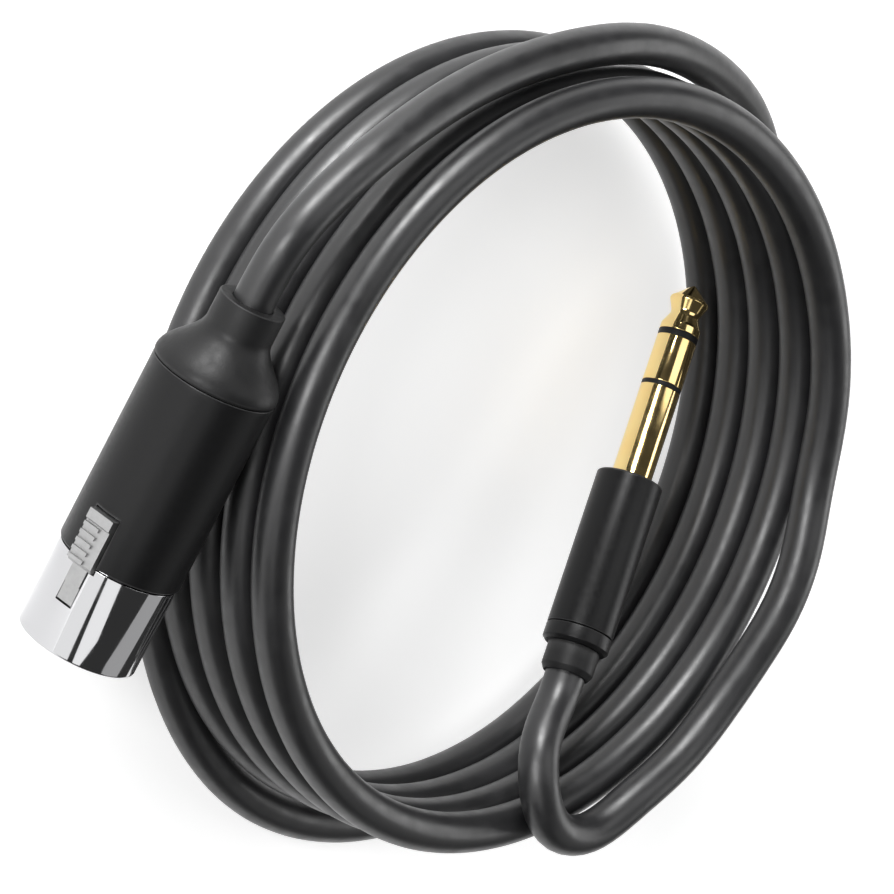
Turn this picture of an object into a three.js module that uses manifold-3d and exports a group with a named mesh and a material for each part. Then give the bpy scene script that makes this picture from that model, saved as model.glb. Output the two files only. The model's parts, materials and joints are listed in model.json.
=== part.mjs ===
// A coiled microphone cable: XLR socket with a push latch on one end, 6.35 mm stereo jack on the other.
// Millimetres, +Z up. The coil lies flat on z = 0 and its axis is vertical.
// The jack lies in the eye of the coil, the XLR connector leans on the outside of the coil.
import * as THREE from "three";
import { mergeVertices } from "three/addons/utils/BufferGeometryUtils.js";
import Module from "manifold-3d";

const wasm = await Module();
wasm.setup();

// ---------------------------------------------------------------- driving dimensions

const GAP = 0.3; // clearance between two pieces that meet
const FIT = 0.15; // clearance between two turned pieces on one axis

// cable
const CABLE_R = 3.15;
const CABLE_SIDES = 10;
const CABLE_STEP = 14;
const CORE_R = 0.65; // one insulated wire inside the jacket

// coil, measured on the middle of the cable
const COIL_CENTRE = [6.7, -1.3]; // puts the origin in the middle of the whole object's footprint
const COIL_R = 58.2;
const COIL_PITCH = 6.54;
const COIL_TURNS = 4.62;
const COIL_HEIGHT = COIL_PITCH * COIL_TURNS;

// XLR connector, along its own axis from the front rim
const XLR_R = 9.35;
const XLR_SLEEVE_R = 9.65;
const XLR_NOSE = 14.2;
const XLR_SLEEVE_END = 45.4;
const XLR_LENGTH = 58;
const XLR_WALL = 1.3;
const XLR_BACK_SHELL_END = 32;
const INSERT_R = 6.5;
const INSERT_FACE = 0.8;
const INSERT_FLANGE = 14.8;
const INSERT_END = 19.6;
const CONTACT_CIRCLE = 3.7;
const CONTACT_ANGLES = [168, 12, 270];
const CONTACT_R = 1.5;
const CONTACT_BORE = 1.2;
const BOOT_MOUTH_R = 5.2; // outside of the boot where the cable leaves it
const BOOT_SWELL = 0.2; // how far the boot stands proud of the sleeve
const BOOT_SWEEP = 7.2; // the length over which it narrows to its neck
const CHUCK_START = 36;
const CHUCK_CONE = 46;
const CHUCK_END = 50.5;
const CHUCK_R = 8;
const XLR_JACKET_END = 33; // where the cable's jacket is stripped

// push latch of the XLR connector
const LATCH_WIDTH = 4.5;
const TONGUE_WIDTH = 2.8;
const LATCH_FRONT = 7.6;
const LATCH_BUTTON_FRONT = 13.6;
const LATCH_BUTTON_BACK = 22.3;
const LATCH_BUTTON_Y = 10.4;
const LATCH_STEP_Y = 9.6; // top of the tongue's rear half, just proud of the nose
const LATCH_PIVOT = 26; // along the connector's axis
const LATCH_PIVOT_Y = 7;
const LATCH_UNDERSIDE = 6.7;
const LATCH_PIN_R = 0.6;
const LATCH_PIN_LENGTH = 7.4;
const LATCH_RIBS = 5;
const LATCH_RIB_WIDTH = 2.8; // the ribs run from one side of the button, over most of it

// 6.35 mm stereo jack, along its own axis from the point of the tip
const JACK_R = 3.175;
const JACK_TIP_END = 8.1;
const JACK_RING_START = 9.1;
const JACK_RING_END = 16.7;
const JACK_SLEEVE_START = 17.4;
const JACK_PLUG = 32.4;
const JACK_HOUSING_R = 5.25;
const JACK_COLLAR_START = 57.8;
const JACK_REAR = 60.4;
const JACK_RELIEF_END = 64.9;
const JACK_RELIEF_R = 4.1;
const JACK_BODY_END = 35.4; // back of the sleeve contact, inside the housing
const JACK_BODY_R = 3.7;
const JACK_HOUSING_BORE = 4.65;
const ROD_R = 0.8; // the tip's rod, then the tubes round it
const INNER_TUBE_R = 1.3;
const RING_TUBE_R = 1.8;
const OUTER_TUBE_R = 2.3;
const ROD_END = 40;
const TIP_TUBE_END = 38.4;
const RING_TUBE_END = 37;
const OUTER_TUBE_END = 36.6;
const CLAMP_FRONT = 35.7;
const CLAMP_ARMS = 48.5;
const CLAMP_BACK = 52;
const JACK_JACKET_END = 47; // where the cable's jacket is stripped

// where the two connectors lie, in the coil's own frame
const XLR_FRONT = new THREE.Vector3(-64.8, -50.1, 12.5);
const XLR_BACK = new THREE.Vector3(-73.3, 5.7, 26.5);
const XLR_LATCH_ROLL = -79; // degrees about the connector's axis, from straight up
const JACK_TIP = new THREE.Vector3(35, 34.4, 13.1);
const JACK_BACK = new THREE.Vector3(26.3, -25.5, 25.5);

// The lead to the XLR connector: [degrees round the coil, radius, height] of the cable's middle.
// It lies on the floor against the coil, climbs the outside and drops into the boot.
const XLR_LEAD = [
  [-75, 65, 3.4],
  [-55, 65, 3.4],
  [-35, 65, 3.4],
  [-15, 65, 3.7],
  [5, 65.2, 4.7],
  [25, 66.3, 6.8],
  [40, 67.6, 9.4],
  [53, 68.3, 12.4],
  [65, 67.6, 15.8],
  [77, 66, 19.6],
  [89, 65.1, 22.9],
  [101, 65, 25.3],
  [112, 65, 26.4],
  [123, 65.3, 26.6],
  [133, 66.4, 26.9],
  [143, 68.5, 27.9],
  [152, 71.4, 29.2],
  [160, 74, 29.5],
  [168, 75.7, 29],
];

// The lead to the jack: [x, y, height] of the cable's middle. It lies on top of the coil,
// turns back in one bend and drops over the inner edge towards the jack.
const JACK_LEAD = [
  [58, 2.5, 34.5],
  [58, -6.5, 35],
  [56.5, -15.5, 34.5],
  [54, -24.5, 34],
  [49.5, -34, 34],
  [42.5, -43, 34],
  [36.5, -49.5, 33.5],
  [28, -50.5, 33.5],
  [22, -45, 32.5],
  [21.5, -40, 30.5],
];

// ---------------------------------------------------------------- materials

const finish = (color, roughness, metalness) =>
  new THREE.MeshStandardMaterial({ color, roughness, metalness });

const FINISH = {
  jacket: () => finish(0x1b1b1c, 0.45, 0),
  blackShell: () => finish(0x161617, 0.4, 0.3),
  blackPlastic: () => finish(0x1d1d1e, 0.55, 0),
  nickel: () => finish(0xc9cbcf, 0.15, 1),
  satinMetal: () => finish(0xb4b6b9, 0.4, 1),
  gold: () => finish(0xd9a441, 0.2, 1),
  brass: () => finish(0xb8923f, 0.35, 1),
  white: () => finish(0xd8d8d4, 0.5, 0),
  red: () => finish(0xa02822, 0.5, 0),
  copper: () => finish(0xb06a3b, 0.4, 1),
};

// ---------------------------------------------------------------- solids

const radians = THREE.MathUtils.degToRad;

// A turned piece about Z from [distance along Z, radius] points. A hollow one names its last point first.
function turned(profile, segments = 32) {
  const points = profile.map(([along, radius]) => new THREE.Vector2(radius, along));
  const geometry = new THREE.LatheGeometry(points, segments);
  return geometry.rotateX(Math.PI / 2);
}

// A tube with square ends between two distances along Z.
function hollow(start, end, inner, outer, segments = 32) {
  return turned([[start, inner], [start, outer], [end, outer], [end, inner], [start, inner]], segments);
}

// A round bar along Z.
function bar(start, end, radius, segments = 16) {
  return turned([[start, 0], [start, radius], [end, radius], [end, 0]], segments);
}

function block(width, [lowY, highY], [lowZ, highZ]) {
  const geometry = new THREE.BoxGeometry(width, highY - lowY, highZ - lowZ);
  return geometry.translate(0, (lowY + highY) / 2, (lowZ + highZ) / 2);
}

// A flat outline of [along Z, height Y] points, as wide as it is told along X.
function plate(width, outline) {
  const shape = new THREE.Shape(outline.map(([along, height]) => new THREE.Vector2(along, height)));
  const geometry = new THREE.ExtrudeGeometry(shape, { depth: width, bevelEnabled: false });
  return geometry.translate(0, 0, -width / 2).rotateY(-Math.PI / 2);
}

// A bar across X at a height above the axis.
function crossBar(radius, width, height, along, segments = 12) {
  const geometry = new THREE.CylinderGeometry(radius, radius, width, segments);
  return geometry.rotateZ(Math.PI / 2).translate(0, height, along);
}

function tubeAlong(points, radius, sides, step) {
  const curve = new THREE.CatmullRomCurve3(points, false, "centripetal");
  const section = new THREE.Shape();
  for (let side = 0; side < sides; side++) {
    const angle = (side / sides) * 2 * Math.PI;
    const [x, y] = [radius * Math.cos(angle), radius * Math.sin(angle)];
    if (side === 0) section.moveTo(x, y);
    else section.lineTo(x, y);
  }
  section.closePath();
  const steps = Math.max(2, Math.round(curve.getLength() / step));
  return new THREE.ExtrudeGeometry(section, { extrudePath: curve, steps, bevelEnabled: false });
}

function solid(geometry) {
  const bare = geometry.clone();
  bare.deleteAttribute("normal");
  bare.deleteAttribute("uv");
  const merged = mergeVertices(bare, 1e-4);
  return new wasm.Manifold(new wasm.Mesh({
    numProp: 3,
    vertProperties: new Float32Array(merged.attributes.position.array),
    triVerts: new Uint32Array(merged.index.array),
  }));
}

function geometryOf(manifold) {
  const mesh = manifold.getMesh();
  const geometry = new THREE.BufferGeometry();
  geometry.setAttribute("position", new THREE.BufferAttribute(new Float32Array(mesh.vertProperties), 3));
  geometry.setIndex(new THREE.BufferAttribute(new Uint32Array(mesh.triVerts), 1));
  geometry.computeVertexNormals();
  return geometry;
}

function cut(body, ...tools) {
  return geometryOf(tools.reduce((rest, tool) => rest.subtract(solid(tool)), solid(body)));
}

function join(...pieces) {
  return geometryOf(pieces.slice(1).reduce((sum, piece) => sum.add(solid(piece)), solid(pieces[0])));
}

function part(name, geometry, material) {
  const mesh = new THREE.Mesh(geometry, material);
  mesh.name = name;
  return mesh;
}

// ---------------------------------------------------------------- XLR connector
// Its own frame: Z runs back from the front rim, the latch is on +Y.

const contactPlace = (degrees) => [
  CONTACT_CIRCLE * Math.cos(radians(degrees)),
  CONTACT_CIRCLE * Math.sin(radians(degrees)),
];

function noseShell() {
  const backR = XLR_SLEEVE_R - 1 - FIT;
  const inner = XLR_R - XLR_WALL;
  const tube = turned([
    [0.4, inner],
    [0, inner + 0.4],
    [0, XLR_R - 0.4],
    [0.4, XLR_R],
    [XLR_NOSE, XLR_R],
    [XLR_NOSE, backR],
    [XLR_BACK_SHELL_END, backR],
    [XLR_BACK_SHELL_END, backR - 1],
    [INSERT_FLANGE - FIT, backR - 1],
    [INSERT_FLANGE - 1, inner],
    [0.4, inner],
  ]);
  const tongueSlot = block(TONGUE_WIDTH + 2 * GAP, [3, 12], [LATCH_FRONT - 0.4, LATCH_BUTTON_FRONT]);
  const buttonSlot = block(LATCH_WIDTH + 2 * GAP, [3, 12], [LATCH_BUTTON_FRONT - GAP, LATCH_PIVOT + 2]);
  const pinHole = crossBar(LATCH_PIN_R + GAP, 14, LATCH_PIVOT_Y, LATCH_PIVOT);
  return part("xlr_nose_shell", cut(tube, tongueSlot, buttonSlot, pinHole), FINISH.nickel());
}

function sleeve() {
  const inner = XLR_SLEEVE_R - 1;
  const start = XLR_NOSE + GAP;
  const tube = turned([
    [start, inner],
    [start, XLR_SLEEVE_R - 0.2],
    [start + 0.2, XLR_SLEEVE_R],
    [XLR_SLEEVE_END, XLR_SLEEVE_R],
    [XLR_SLEEVE_END, inner],
    [start, inner],
  ]);
  const notch = block(LATCH_WIDTH + 2 * GAP, [5, 12], [XLR_NOSE - 2, LATCH_BUTTON_BACK + 0.4]);
  return part("xlr_sleeve", cut(tube, notch), FINISH.blackShell());
}

// The outside of the boot swells out of the sleeve, then sweeps in to a short neck in an S.
function boot() {
  const start = XLR_SLEEVE_END + GAP;
  const widest = XLR_SLEEVE_R + BOOT_SWELL;
  const bell = [];
  const rings = 9;
  for (let i = 0; i <= rings; i++) {
    const t = i / rings;
    const fall = 0.5 - 0.5 * Math.cos(Math.PI * t);
    bell.push([start + 1 + t * BOOT_SWEEP, widest + fall * (BOOT_MOUTH_R - widest)]);
  }
  const mouth = CABLE_R + GAP;
  const shoulder = XLR_SLEEVE_END + 4;
  const profile = [
    [start, XLR_SLEEVE_R - 1.4],
    [start, XLR_SLEEVE_R],
    ...bell,
    [XLR_LENGTH, BOOT_MOUTH_R],
    [XLR_LENGTH, mouth],
    [shoulder + 3, mouth],
    [shoulder, XLR_SLEEVE_R - 2.4],
    [start, XLR_SLEEVE_R - 1.4],
  ];
  return part("xlr_boot", turned(profile), FINISH.blackPlastic());
}

function insert() {
  const body = turned([
    [INSERT_FACE, 0],
    [INSERT_FACE, INSERT_R - 0.3],
    [INSERT_FACE + 0.3, INSERT_R],
    [INSERT_FLANGE, INSERT_R],
    [INSERT_FLANGE, XLR_SLEEVE_R - 2 - 2 * FIT],
    [INSERT_END, XLR_SLEEVE_R - 2 - 2 * FIT],
    [INSERT_END, 0],
  ]);
  const channel = block(LATCH_WIDTH + 1, [LATCH_UNDERSIDE - 2, 12], [LATCH_FRONT - 1.4, INSERT_END + 1]);
  const holes = CONTACT_ANGLES.map((degrees) => {
    const [x, y] = contactPlace(degrees);
    return bar(INSERT_FACE - 1, INSERT_END + 1, CONTACT_R + FIT).translate(x, y, 0);
  });
  return part("xlr_insert", cut(body, channel, ...holes), FINISH.blackPlastic());
}

// A socket contact: a sprung tube at the front and a solder cup at the back.
function contact(index) {
  const [x, y] = contactPlace(CONTACT_ANGLES[index]);
  const front = INSERT_FACE + 0.7;
  const back = INSERT_END + 4;
  const geometry = turned([
    [front, CONTACT_BORE],
    [front, CONTACT_R],
    [back, CONTACT_R],
    [back, CONTACT_BORE - 0.2],
    [back - 3, CONTACT_BORE - 0.2],
    [back - 3, 0],
    [front + 13, 0],
    [front + 13, CONTACT_BORE],
    [front, CONTACT_BORE],
  ], 12);
  return part(`xlr_contact_${index + 1}`, geometry.translate(x, y, 0), FINISH.gold());
}

// One lever: an eye at the pivot, a ribbed button and a narrower stepped tongue in front of it.
function latch() {
  const low = LATCH_UNDERSIDE;
  const top = LATCH_BUTTON_Y;
  const step = LATCH_STEP_Y;
  const lever = plate(LATCH_WIDTH, [
    [LATCH_BUTTON_FRONT, low],
    [LATCH_PIVOT, low],
    [LATCH_PIVOT, low + 1.2],
    [LATCH_BUTTON_BACK, low + 1.2],
    [LATCH_BUTTON_BACK, top + 0.5],
    [LATCH_BUTTON_BACK - 1.6, top + 0.5],
    [LATCH_BUTTON_BACK - 1.6, top],
    [LATCH_BUTTON_FRONT + 0.6, top],
    [LATCH_BUTTON_FRONT, top - 0.5],
  ]);
  const tongue = plate(TONGUE_WIDTH, [
    [LATCH_FRONT, low + 0.4],
    [LATCH_FRONT + 0.6, low],
    [LATCH_BUTTON_FRONT + 1, low],
    [LATCH_BUTTON_FRONT + 1, step],
    [LATCH_BUTTON_FRONT - 3, step],
    [LATCH_BUTTON_FRONT - 3, step - 0.3],
    [LATCH_FRONT, step - 0.4],
  ]);
  const ribPitch = (LATCH_BUTTON_BACK - 2 - LATCH_BUTTON_FRONT) / LATCH_RIBS;
  const ribs = [];
  for (let i = 0; i < LATCH_RIBS; i++) {
    const along = LATCH_BUTTON_FRONT + 0.2 + (i + 0.5) * ribPitch;
    const rib = block(LATCH_RIB_WIDTH, [top - 0.6, top + 0.4], [along - 0.3, along + 0.3]);
    ribs.push(rib.translate((LATCH_WIDTH - LATCH_RIB_WIDTH) / 2, 0, 0));
  }
  const boss = crossBar(LATCH_PIN_R + 0.6, LATCH_WIDTH, LATCH_PIVOT_Y, LATCH_PIVOT, 16);
  const eye = crossBar(LATCH_PIN_R + 0.1, LATCH_WIDTH + 2, LATCH_PIVOT_Y, LATCH_PIVOT);
  return part("xlr_latch", cut(join(lever, tongue, boss, ...ribs), eye), FINISH.satinMetal());
}

function latchPin() {
  const pin = crossBar(LATCH_PIN_R, LATCH_PIN_LENGTH, LATCH_PIVOT_Y, LATCH_PIVOT);
  return part("xlr_latch_pin", pin, FINISH.satinMetal());
}

// A bent leaf on the insert, under the lever and clear of it at full press.
function latchSpring() {
  const low = LATCH_UNDERSIDE - 1.7;
  const outline = [
    [INSERT_FLANGE - 6, low],
    [INSERT_FLANGE - 1, low],
    [INSERT_FLANGE + 4.2, low + 0.5],
    [INSERT_FLANGE + 4.2, low + 0.8],
    [INSERT_FLANGE - 1, low + 0.3],
    [INSERT_FLANGE - 6, low + 0.3],
  ];
  return part("xlr_latch_spring", plate(3, outline), FINISH.satinMetal());
}

// The split collet that the boot squeezes on to the jacket.
function chuck() {
  const bore = CABLE_R + GAP;
  const tube = turned([
    [CHUCK_START, bore],
    [CHUCK_START, CHUCK_R],
    [CHUCK_CONE, CHUCK_R],
    [CHUCK_END - 2, 5.6],
    [CHUCK_END, 4.2],
    [CHUCK_END, bore],
    [CHUCK_START, bore],
  ], 24);
  const split = block(1.2, [0, CHUCK_R + 1], [CHUCK_START - 1, CHUCK_END + 1]);
  return part("xlr_cable_chuck", cut(tube, split), FINISH.blackPlastic());
}

function xlrCableEnd() {
  return part("xlr_cable_end", bar(XLR_JACKET_END, XLR_LENGTH - 0.5, CABLE_R - 0.05), FINISH.jacket());
}

// A wire from a solder cup to the end of the jacket.
function xlrWire(name, index, material) {
  const [x, y] = contactPlace(CONTACT_ANGLES[index]);
  const place = (share, along) => new THREE.Vector3(x * share, y * share, along);
  const route = [
    place(1, INSERT_END + 1.6),
    place(1, INSERT_END + 5),
    place(0.675, XLR_JACKET_END - 5),
    place(0.35, XLR_JACKET_END - 0.4),
  ];
  return part(name, tubeAlong(route, CORE_R, 8, 2), material);
}

function xlrConnector() {
  const fixed = [
    noseShell(),
    sleeve(),
    boot(),
    insert(),
    ...CONTACT_ANGLES.map((_, index) => contact(index)),
    latch(),
    latchPin(),
    latchSpring(),
    chuck(),
    xlrCableEnd(),
    xlrWire("xlr_wire_shield", 0, FINISH.copper()),
    xlrWire("xlr_wire_hot", 1, FINISH.red()),
    xlrWire("xlr_wire_cold", 2, FINISH.white()),
  ];
  return aimed(fixed, XLR_FRONT, XLR_BACK, XLR_LATCH_ROLL);
}

// ---------------------------------------------------------------- jack
// Its own frame: Z runs back from the point of the tip.

function jackTip() {
  const profile = [
    [0, 0],
    [0.25, 0.45],
    [2.5, 3.05],
    [2.9, 3.1],
    [4.6, 2.35],
    [5.2, 2.3],
    [6.6, 3],
    [7, JACK_R],
    [JACK_TIP_END, JACK_R],
    [JACK_TIP_END, ROD_R],
    [ROD_END, ROD_R],
    [ROD_END, 0],
  ];
  return part("jack_tip", turned(profile, 24), FINISH.gold());
}

// A washer that shows between two contacts, and the tube behind it inside the plug.
function insulator(name, start, end, inner, outer, tubeEnd) {
  const profile = [
    [start, inner],
    [start, JACK_R - 0.05],
    [end, JACK_R - 0.05],
    [end, outer],
    [tubeEnd, outer],
    [tubeEnd, inner],
    [start, inner],
  ];
  return part(name, turned(profile, 24), FINISH.blackPlastic());
}

function jackRing() {
  const profile = [
    [JACK_RING_START, INNER_TUBE_R + FIT],
    [JACK_RING_START, JACK_R],
    [JACK_RING_END, JACK_R],
    [JACK_RING_END, RING_TUBE_R],
    [RING_TUBE_END, RING_TUBE_R],
    [RING_TUBE_END, INNER_TUBE_R + FIT],
    [JACK_RING_START, INNER_TUBE_R + FIT],
  ];
  return part("jack_ring", turned(profile, 24), FINISH.gold());
}

function jackSleeve() {
  const profile = [
    [JACK_SLEEVE_START, OUTER_TUBE_R + FIT],
    [JACK_SLEEVE_START, JACK_R],
    [JACK_PLUG + 1, JACK_R],
    [JACK_PLUG + 2, JACK_BODY_R],
    [JACK_BODY_END, JACK_BODY_R],
    [JACK_BODY_END, OUTER_TUBE_R + FIT],
    [JACK_SLEEVE_START, OUTER_TUBE_R + FIT],
  ];
  return part("jack_sleeve", turned(profile, 24), FINISH.gold());
}

// A tag soldered to one wire, standing beside the plug's axis behind the contacts.
function lug(name, start, end, side, inner) {
  const ring = hollow(start, start + 0.5, inner, inner + 0.9, 16);
  const tag = block(1.6, [inner + 0.2, inner + 0.7], [start, end]);
  const shape = join(ring, tag);
  return part(name, shape.rotateZ(radians(side)), FINISH.brass());
}

// The sleeve contact's long tag, with two arms folded over the cable's jacket.
function cableClamp() {
  const outer = CABLE_R + GAP + 0.45;
  const flange = hollow(CLAMP_FRONT, CLAMP_FRONT + 0.6, OUTER_TUBE_R + FIT, outer, 24);
  const strap = block(2.4, [outer - 0.5, outer], [CLAMP_FRONT, CLAMP_BACK]);
  const arms = cut(
    hollow(CLAMP_ARMS, CLAMP_BACK, CABLE_R + GAP, outer, 24),
    block(3, [-outer - 1, 0], [CLAMP_ARMS - 1, CLAMP_BACK + 1]),
  );
  return part("jack_cable_clamp", join(flange, strap, arms), FINISH.brass());
}

function jackHousing() {
  const start = JACK_PLUG;
  const end = JACK_COLLAR_START - GAP;
  const profile = [
    [start, JACK_R + 0.2],
    [start, JACK_HOUSING_R - 0.5],
    [start + 0.5, JACK_HOUSING_R],
    [end, JACK_HOUSING_R],
    [end, JACK_HOUSING_BORE],
    [start + 2, JACK_HOUSING_BORE],
    [start + 0.8, JACK_R + 0.2],
    [start, JACK_R + 0.2],
  ];
  return part("jack_housing", turned(profile), FINISH.blackShell());
}

function jackLiner() {
  const tube = hollow(OUTER_TUBE_END, JACK_COLLAR_START - 1.8, 4.2, JACK_HOUSING_BORE - FIT, 24);
  return part("jack_liner", tube, FINISH.blackPlastic());
}

function jackCollar() {
  const profile = [
    [JACK_COLLAR_START, 3.6],
    [JACK_COLLAR_START, JACK_HOUSING_R],
    [JACK_REAR - 0.6, JACK_HOUSING_R],
    [JACK_REAR, JACK_HOUSING_R - 0.6],
    [JACK_REAR, 3.6],
    [JACK_COLLAR_START, 3.6],
  ];
  return part("jack_collar", turned(profile), FINISH.blackShell());
}

function jackRelief() {
  const profile = [
    [JACK_REAR + GAP, CABLE_R + 0.2],
    [JACK_REAR + GAP, JACK_RELIEF_R],
    [JACK_RELIEF_END - 0.9, JACK_RELIEF_R],
    [JACK_RELIEF_END, CABLE_R + 0.45],
    [JACK_RELIEF_END, CABLE_R + 0.2],
    [JACK_REAR + GAP, CABLE_R + 0.2],
  ];
  return part("jack_strain_relief", turned(profile, 24), FINISH.blackPlastic());
}

function jackCableEnd() {
  return part("jack_cable_end", bar(JACK_JACKET_END, JACK_RELIEF_END - 0.2, CABLE_R - 0.05), FINISH.jacket());
}

// A wire from its tag to the end of the jacket.
function jackWire(name, start, side, radius, material) {
  const place = (along, out) =>
    new THREE.Vector3(0, out, along).applyAxisAngle(new THREE.Vector3(0, 0, 1), radians(side));
  const end = JACK_JACKET_END - 0.4;
  const route = [place(start, radius), place(start + 2, radius), place(end - 2.1, 1.9), place(end, 1.5)];
  return part(name, tubeAlong(route, CORE_R - 0.1, 8, 1.6), material);
}

function jack() {
  const pieces = [
    jackTip(),
    insulator(
      "jack_tip_insulator", JACK_TIP_END + 0.05, JACK_RING_START - 0.05,
      ROD_R + FIT, INNER_TUBE_R, TIP_TUBE_END),
    jackRing(),
    insulator(
      "jack_ring_insulator", JACK_RING_END + 0.05, JACK_SLEEVE_START - 0.05,
      RING_TUBE_R + FIT, OUTER_TUBE_R, OUTER_TUBE_END),
    jackSleeve(),
    lug("jack_tip_lug", TIP_TUBE_END + 0.4, 43, 120, ROD_R + 0.05),
    lug("jack_ring_lug", OUTER_TUBE_END + 0.2, 41, 240, RING_TUBE_R + 0.05),
    cableClamp(),
    jackHousing(),
    jackLiner(),
    jackCollar(),
    jackRelief(),
    jackCableEnd(),
    jackWire("jack_wire_tip", 41, 120, 2.2, FINISH.red()),
    jackWire("jack_wire_ring", 39, 240, 3.3, FINISH.white()),
    jackWire("jack_wire_shield", 38, 0, 2.6, FINISH.copper()),
  ];
  return aimed(pieces, JACK_TIP, JACK_BACK, 0);
}

// ---------------------------------------------------------------- cable

function coil() {
  const ring = hollow(0, COIL_HEIGHT, COIL_R - CABLE_R, COIL_R + CABLE_R, 64);
  return part("cable_coil", ring, FINISH.jacket());
}

// The point behind a connector, on its axis, as seen from its front point.
function behind(front, back, distance) {
  return back.clone().sub(front).normalize().multiplyScalar(distance).add(front);
}

function xlrLead() {
  const route = XLR_LEAD.map(([degrees, radius, height]) =>
    new THREE.Vector3(radius * Math.cos(radians(degrees)), radius * Math.sin(radians(degrees)), height));
  route.push(behind(XLR_FRONT, XLR_BACK, XLR_LENGTH + 4), behind(XLR_FRONT, XLR_BACK, XLR_LENGTH + GAP));
  return part("cable_xlr_lead", tubeAlong(route, CABLE_R, CABLE_SIDES, CABLE_STEP), FINISH.jacket());
}

function jackLead() {
  const route = JACK_LEAD.map(([x, y, z]) => new THREE.Vector3(x, y, z));
  route.push(behind(JACK_TIP, JACK_BACK, JACK_RELIEF_END + 3));
  route.push(behind(JACK_TIP, JACK_BACK, JACK_RELIEF_END + GAP));
  return part("cable_jack_lead", tubeAlong(route, CABLE_R, CABLE_SIDES, 4), FINISH.jacket());
}

// ---------------------------------------------------------------- assembly

// A group whose Z runs from one point to another, its Y turned by a roll away from straight up.
function aimed(pieces, from, to, roll) {
  const along = to.clone().sub(from).normalize();
  const up = new THREE.Vector3(0, 0, 1);
  up.addScaledVector(along, -up.dot(along)).normalize().applyAxisAngle(along, radians(roll));
  const side = new THREE.Vector3().crossVectors(up, along);
  const group = new THREE.Group();
  group.setRotationFromMatrix(new THREE.Matrix4().makeBasis(side, up, along));
  group.position.copy(from);
  group.add(...pieces);
  return group;
}

const cable = new THREE.Group();
cable.position.set(...COIL_CENTRE, 0);
cable.add(coil(), xlrLead(), jackLead(), xlrConnector(), jack());

export default new THREE.Group().add(cable);
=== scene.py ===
"""Looks of a coiled microphone cable, from an XLR socket to a 6.35 mm stereo jack, around its CAD frame.

Metres, +Z up, in the CAD model's own frame. The coil lies flat on the floor, the jack hangs into its eye
and the XLR connector lies along its outside. The connectors' own dimensions are in millimetres.
"""

import json
import math

import bmesh
import bpy
import numpy as np
from mathutils import Matrix, Vector


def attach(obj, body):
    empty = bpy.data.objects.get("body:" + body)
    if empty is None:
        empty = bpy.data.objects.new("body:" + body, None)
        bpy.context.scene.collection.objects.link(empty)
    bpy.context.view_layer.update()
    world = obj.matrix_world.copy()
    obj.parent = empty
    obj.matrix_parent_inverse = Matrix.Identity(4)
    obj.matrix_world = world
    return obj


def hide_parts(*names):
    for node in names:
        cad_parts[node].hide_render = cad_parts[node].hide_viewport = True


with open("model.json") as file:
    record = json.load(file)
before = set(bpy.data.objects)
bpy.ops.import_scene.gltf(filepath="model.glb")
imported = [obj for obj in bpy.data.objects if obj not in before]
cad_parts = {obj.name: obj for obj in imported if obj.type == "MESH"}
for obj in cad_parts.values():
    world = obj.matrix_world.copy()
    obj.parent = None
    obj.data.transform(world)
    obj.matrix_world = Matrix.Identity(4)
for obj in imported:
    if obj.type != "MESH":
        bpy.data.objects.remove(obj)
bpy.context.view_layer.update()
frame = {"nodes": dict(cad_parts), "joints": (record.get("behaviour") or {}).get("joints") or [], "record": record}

# ---------------------------------------------------------------- driving dimensions

MM = 0.001

CABLE_D = 0.0063
CABLE_SIDES = 32
CABLE_STEP = 0.0016  # between rings of the cable's surface

# coil, measured on the middle of the cable
COIL_CENTRE = Vector((0.0067, -0.0013, 0))
COIL_R = 0.0582
COIL_PITCH = 0.006535
COIL_TOP_ANGLE = -4  # degrees, where the lead to the jack leaves the top turn
COIL_FLOOR_ANGLE = 212 + 4 * 360  # where the lowest turn reaches the floor
POINTS_PER_TURN = 24
RUN_OUT_END = 285 + 4 * 360  # where the lowest turn lies beside the coil as the XLR lead
RUN_OUT_R = 0.065

# The lead to the XLR connector: (degrees round the coil, radius, height) of the cable's middle.
XLR_LEAD = [
    (-75, 0.065, 0.0034),
    (-55, 0.065, 0.0034),
    (-35, 0.065, 0.0034),
    (-15, 0.065, 0.0037),
    (5, 0.0652, 0.0047),
    (25, 0.0663, 0.0068),
    (40, 0.0676, 0.0094),
    (53, 0.0683, 0.0124),
    (65, 0.0676, 0.0158),
    (77, 0.066, 0.0196),
    (89, 0.0651, 0.0229),
    (101, 0.065, 0.0253),
    (112, 0.065, 0.0264),
    (123, 0.0653, 0.0266),
    (133, 0.0664, 0.0269),
    (143, 0.0685, 0.0279),
    (152, 0.0714, 0.0292),
    (160, 0.074, 0.0295),
    (168, 0.0757, 0.029),
]

# The lead to the jack: (x, y, height) of the cable's middle, from the coil's centre.
JACK_LEAD = [
    (0.058, 0.0025, 0.0345),
    (0.058, -0.0065, 0.035),
    (0.0565, -0.0155, 0.0345),
    (0.054, -0.0245, 0.034),
    (0.0495, -0.034, 0.034),
    (0.0425, -0.043, 0.034),
    (0.0365, -0.0495, 0.0335),
    (0.028, -0.0505, 0.0335),
    (0.022, -0.045, 0.0325),
    (0.0215, -0.04, 0.0305),
]

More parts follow.
